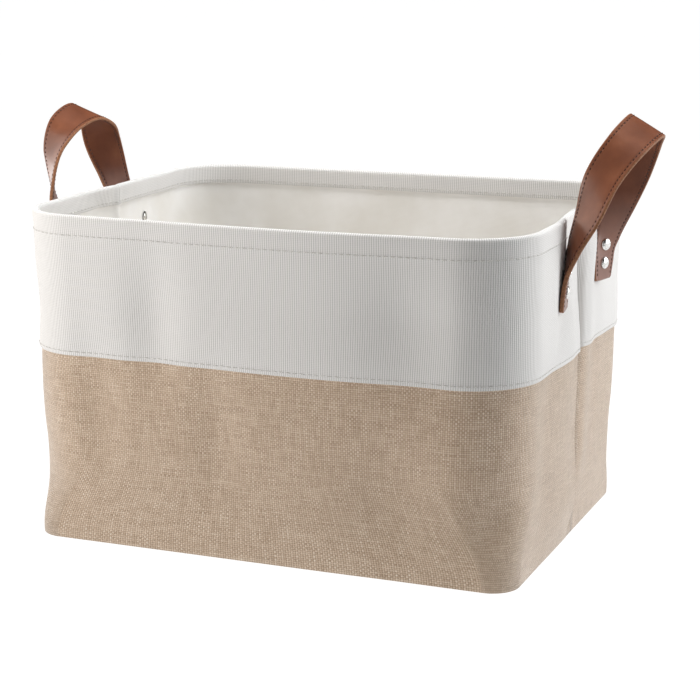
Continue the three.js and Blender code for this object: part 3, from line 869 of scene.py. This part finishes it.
def strap_stitches(name, stations, lean):
    """Two rows of stitches on each face of a strap, in its sewing channels."""
    centre, tangent, across, face, width, thick, length = strap_frames(stations, lean, 1200)
    every = np.arange(STRAP_STITCH_START, length[-1] - STRAP_STITCH_START, STRAP_STITCH["pitch"])
    pick = np.searchsorted(length, every)
    rows = []
    for side in (-1, 1):
        for over in (-1, 1):
            reach = side * (width[pick] / 2 - STITCH_INSET)
            depth = over * (STRAP / 2 * thick[pick] - CHANNEL * thick[pick] + STRAP_STITCH["proud"])
            places = centre[pick] + reach[:, None] * across[pick] + depth[:, None] * face[pick]
            rows.append((places, tangent[pick], over * face[pick]))
    centres, along, up = (np.concatenate([row[k] for row in rows]) for k in range(3))
    return stitch_run(name, centres, along, up, STRAP_STITCH, BROWN_THREAD)


# ---- Rivets ---------------------------------------------------------------------------------------
def turned_piece(name, profile, origin, axis, material, sides=40):
    """A round piece: rows of radius and distance along the axis, turned about the axis."""
    profile = np.asarray(profile, float)
    axis = unit(np.asarray(axis, float))
    side = unit(np.cross(axis, (0, 0, 1.0)))
    up = np.cross(side, axis)
    turns = np.linspace(0, 2 * np.pi, sides, endpoint=False)
    ring = np.cos(turns)[:, None] * side + np.sin(turns)[:, None] * up
    body = origin + profile[1:-1, 0, None, None] * ring + profile[1:-1, 1, None, None] * axis
    poles = [origin + profile[k, 1] * axis for k in (0, -1)]
    return ringed(name, body, poles, material)


def rivet_seat(stations, lean, height, rear):
    """Where a strap's middle passes a height on its front or rear leg, and its face direction
    turned to point away from the bin."""
    centre, _, _, face, *_ = strap_frames(stations, lean)
    leg = centre[:, 1] > 0 if rear else centre[:, 1] < 0
    nearest = np.abs(np.where(leg, centre[:, 2], np.inf) - height).argmin()
    out = face[nearest] * np.sign(face[nearest, 0] * centre[nearest, 0])
    return centre[nearest], out


def box_centre(node):
    low, high = (np.array(corner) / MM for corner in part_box(node))
    return (low + high) / 2


def dome(radius, seat, height, steps=9):
    """Radius and distance along the axis, from a dome's edge to its top."""
    turns = np.linspace(0, np.pi / 2, steps)
    rows = [(radius * np.cos(a), seat + height * np.sin(a)) for a in turns[:-1]]
    return rows + [(0, seat + height)]


def rivet_head():
    """A post and a domed head with a small rolled edge, seated at 0."""
    rolled = [(HEAD_RADIUS - 0.5, 0.0), (HEAD_RADIUS - 0.1, 0.1), (HEAD_RADIUS, 0.35)]
    post = [(0, -POST_LENGTH), (POST_RADIUS, -POST_LENGTH), (POST_RADIUS, 0.0)]
    return post + rolled + dome(HEAD_RADIUS - 0.05, 0.5, HEAD_HEIGHT - 0.5)


def rivet_cap():
    """The domed back of a rivet, seated at 0."""
    rim = [(0, 0.0), (CAP_RADIUS - 0.4, 0.0), (CAP_RADIUS, 0.3)]
    return rim + dome(CAP_RADIUS - 0.05, 0.4, CAP_HEIGHT - 0.4)


# ---- Build: cloth ---------------------------------------------------------------------------------
def finish_piece(piece, body, slot, *nodes):
    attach(piece, body)
    if nodes:
        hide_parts(*nodes)
    return piece


HALVES = {"front": 1, "back": -1}
CUT_LENGTH = wall_lengths(wall_stations(2.4), 0.6 * HEIGHT)[-1] * MM
for side, half in HALVES.items():
    linen = wall_piece(f"{side}_linen_wall", linen_section(), half, LINEN_CLOTH)
    finish_piece(linen, "root", "linen", f"{side}_linen_panel")
    cuff = wall_piece(f"{side}_cuff", cuff_section(), half, CANVAS_CLOTH)
    finish_piece(cuff, "root", "canvas", f"{side}_canvas_cuff")
    lining = wall_piece(f"{side}_lining", lining_section(), half, LINING_CLOTH)
    finish_piece(lining, "root", "lining", f"{side}_lining_panel")
    sewn = [
        wall_stitches(f"{side}_hem_stitches", HEIGHT - HEM_STITCH_DROP, 0, half),
        wall_stitches(f"{side}_inner_hem_stitches", HEIGHT - INNER_STITCH_DROP, HEM_IN, half, True),
        wall_stitches(f"{side}_cuff_edge_stitches", CUFF_BOTTOM + CUFF_STITCH_RISE, CUFF_OUT, half),
    ]
    for run in sewn:
        finish_piece(run, "root", "canvas")


def floor_cloth(name, inset, bottom, thickness, wave, material):
    """A floor sheet: rings of the bin's rounded plan shrinking to its middle, below and above, with
    a rounded edge and a slow wave on the upper face."""
    turns = np.linspace(0, 2 * np.pi, 160, endpoint=False)
    x, y = BASE_LENGTH / 2 - inset, BASE_DEPTH / 2 - inset
    power = 9.0
    radius = (np.abs(np.cos(turns) / x) ** power + np.abs(np.sin(turns) / y) ** power) ** (-1 / power)
    plan = np.stack([radius * np.cos(turns), radius * np.sin(turns)], -1)
    shares = np.r_[np.linspace(0.02, 0.97, 26), 0.99, 0.997]
    rings = [(s, 0.0) for s in shares] + [(1.0, 0.5)] + [(s, 1.0) for s in shares[::-1]]
    body = []
    for share, level in rings:
        flat = plan * share
        rise = wave * np.sin(flat[:, 0] / 27 + 1) * np.cos(flat[:, 1] / 33) * (1 - share**4)
        body.append(np.column_stack([flat, bottom + thickness * level + rise]))
    middle = bottom + wave * np.sin(1)
    poles = [[0, 0, middle], [0, 0, middle + thickness]]
    return ringed(name, np.array(body), poles, material, plan_uv=True)


FLOOR_INSET = LINEN + GAP
LINING_INSET = 3.6
LINING_LIFT = 0.6
LINING_WAVE = 0.5
linen_floor = floor_cloth("linen_floor", FLOOR_INSET, 0.0, LINEN, 0.0, LINEN_CLOTH)
finish_piece(linen_floor, "root", "linen", "base_linen_panel")
lining_bottom = LINING_FLOOR + LINING_LIFT
lining_floor = floor_cloth(
    "lining_floor", LINING_INSET, lining_bottom, LINING, LINING_WAVE, LINING_CLOTH
)
finish_piece(lining_floor, "root", "lining", "base_lining_panel")

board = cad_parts["base_board"]
board.data.materials.clear()
board.data.materials.append(BOARD)

# ---- Build: handles -------------------------------------------------------------------------------
STRAPS = {"right": RIGHT_STRAP, "left": LEFT_STRAP}
for side, stations in STRAPS.items():
    strap = strap_piece(f"{side}_strap", stations, STRAP_LEAN[side])
    run = strap_stitches(f"{side}_strap_stitches", stations, STRAP_LEAN[side])
    for piece in (strap, run):
        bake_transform(piece)
    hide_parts(f"{side}_handle_loop", f"{side}_front_tab", f"{side}_rear_tab")

for end, stations in STRAPS.items():
    for row in ("front", "rear"):
        for level in ("upper", "lower"):
            node = f"{end}_{row}_{level}_rivet"
            head_box, back_box = box_centre(node), box_centre(node + "_back")
            seat, out = rivet_seat(stations, STRAP_LEAN[end], head_box[2], row == "rear")
            head = turned_piece(f"{node}_head", rivet_head(), seat + out * STRAP / 2, out, NICKEL)
            finish_piece(head, "root", "nickel", node)
            inward = unit(back_box - head_box)
            foot = back_box - inward * CAP_HEIGHT / 2
            cap = turned_piece(f"{node}_cap", rivet_cap(), foot, inward, NICKEL)
            finish_piece(cap, "root", "nickel", node + "_back")


# ---- Floor, light and camera ----------------------------------------------------------------------
CAMERA_PLACE = (0.51065, -1.24168, 0.41727)
CAMERA_TILT = 12.285  # degrees below level
CAMERA_TURN = 21.865  # degrees to the left of straight back
FLOOR_REACH = 40.0
CARD_SIZE = (1.0, 0.64)
CARD_PLACE = (0.52, -0.60, 0.002)


def flat_sheet(name, length, width, material):
    """A flat rectangle about the origin, in metres."""
    x, y = length / 2, width / 2
    mesh = bpy.data.meshes.new(name)
    mesh.from_pydata([(-x, -y, 0), (x, -y, 0), (x, y, 0), (-x, y, 0)], [], [(0, 1, 2, 3)])
    mesh.materials.append(material)
    sheet = bpy.data.objects.new(name, mesh)
    bpy.context.scene.collection.objects.link(sheet)
    return sheet


def studio_floor():
    """A wide white floor that glows, so it stays white behind the bin."""
    f = Finish("studio_white", roughness=0.9, specular=0.0)
    f.colour((0.1, 0.1, 0.1, 1))
    f.shader.inputs["Emission Color"].default_value = (1, 1, 1, 1)
    f.shader.inputs["Emission Strength"].default_value = 1.0
    flat_sheet("studio_floor", 2 * FLOOR_REACH, 2 * FLOOR_REACH, f.material)


def shade_card():
    """A dark card on the floor before the bin, out of the camera's sight: it keeps the floor's glow
    off the front's right half."""
    f = Finish("card_black", roughness=0.9, specular=0.0)
    f.colour((0.03, 0.03, 0.03, 1))
    card = flat_sheet("shade_card", *CARD_SIZE, f.material)
    card.location = CARD_PLACE
    card.rotation_euler = (0, 0, math.radians(CAMERA_TURN))
    card.visible_camera = False


def soft_light(name, place, aim, size, power, glossy=True, warmth=0.0):
    """A rectangular lamp at a place, turned to a point; a warm one has less green and blue."""
    lamp = bpy.data.lights.new(name, "AREA")
    lamp.shape = "RECTANGLE"
    lamp.size, lamp.size_y = size
    lamp.energy = power
    lamp.color = (1, 1 - warmth, 1 - 2 * warmth)
    light = bpy.data.objects.new(name, lamp)
    light.location = place
    light.visible_glossy = glossy
    light.rotation_euler = (Vector(aim) - Vector(place)).to_track_quat("-Z", "Y").to_euler()
    bpy.context.scene.collection.objects.link(light)


def studio_sky(strength):
    world = bpy.data.worlds.new("studio_sky")
    world.use_nodes = True
    world.node_tree.nodes["Background"].inputs[0].default_value = (1, 1, 1, 1)
    world.node_tree.nodes["Background"].inputs[1].default_value = strength
    bpy.context.scene.world = world


def studio_camera():
    camera = bpy.data.cameras.new("camera")
    camera.lens = 94.08
    camera.sensor_width = 36
    camera.clip_end = 50
    eye = bpy.data.objects.new("camera", camera)
    eye.location = CAMERA_PLACE
    eye.rotation_euler = np.radians([90 - CAMERA_TILT, 0, CAMERA_TURN])
    bpy.context.scene.collection.objects.link(eye)
    bpy.context.scene.camera = eye


studio_floor()
studio_sky(0.04)
soft_light("right_panel", (1.05, 0.42, 0.55), (0.15, 0.02, 0.15), (0.9, 0.9), 11)
soft_light("top_panel", (0.0, 0.1, 1.2), (0, 0.05, 0.1), (1.2, 0.75), 17, glossy=False)
soft_light("left_panel", (-1.0, 0.15, 0.5), (0, 0, 0.15), (1.3, 0.9), 5, warmth=0.05)
soft_light("left_front_panel", (-0.46, -0.62, 0.36), (-0.12, -0.14, 0.15), (0.35, 0.5), 3.2, warmth=0.05)
shade_card()
studio_camera()
bpy.context.scene.view_settings.view_transform = "Standard"
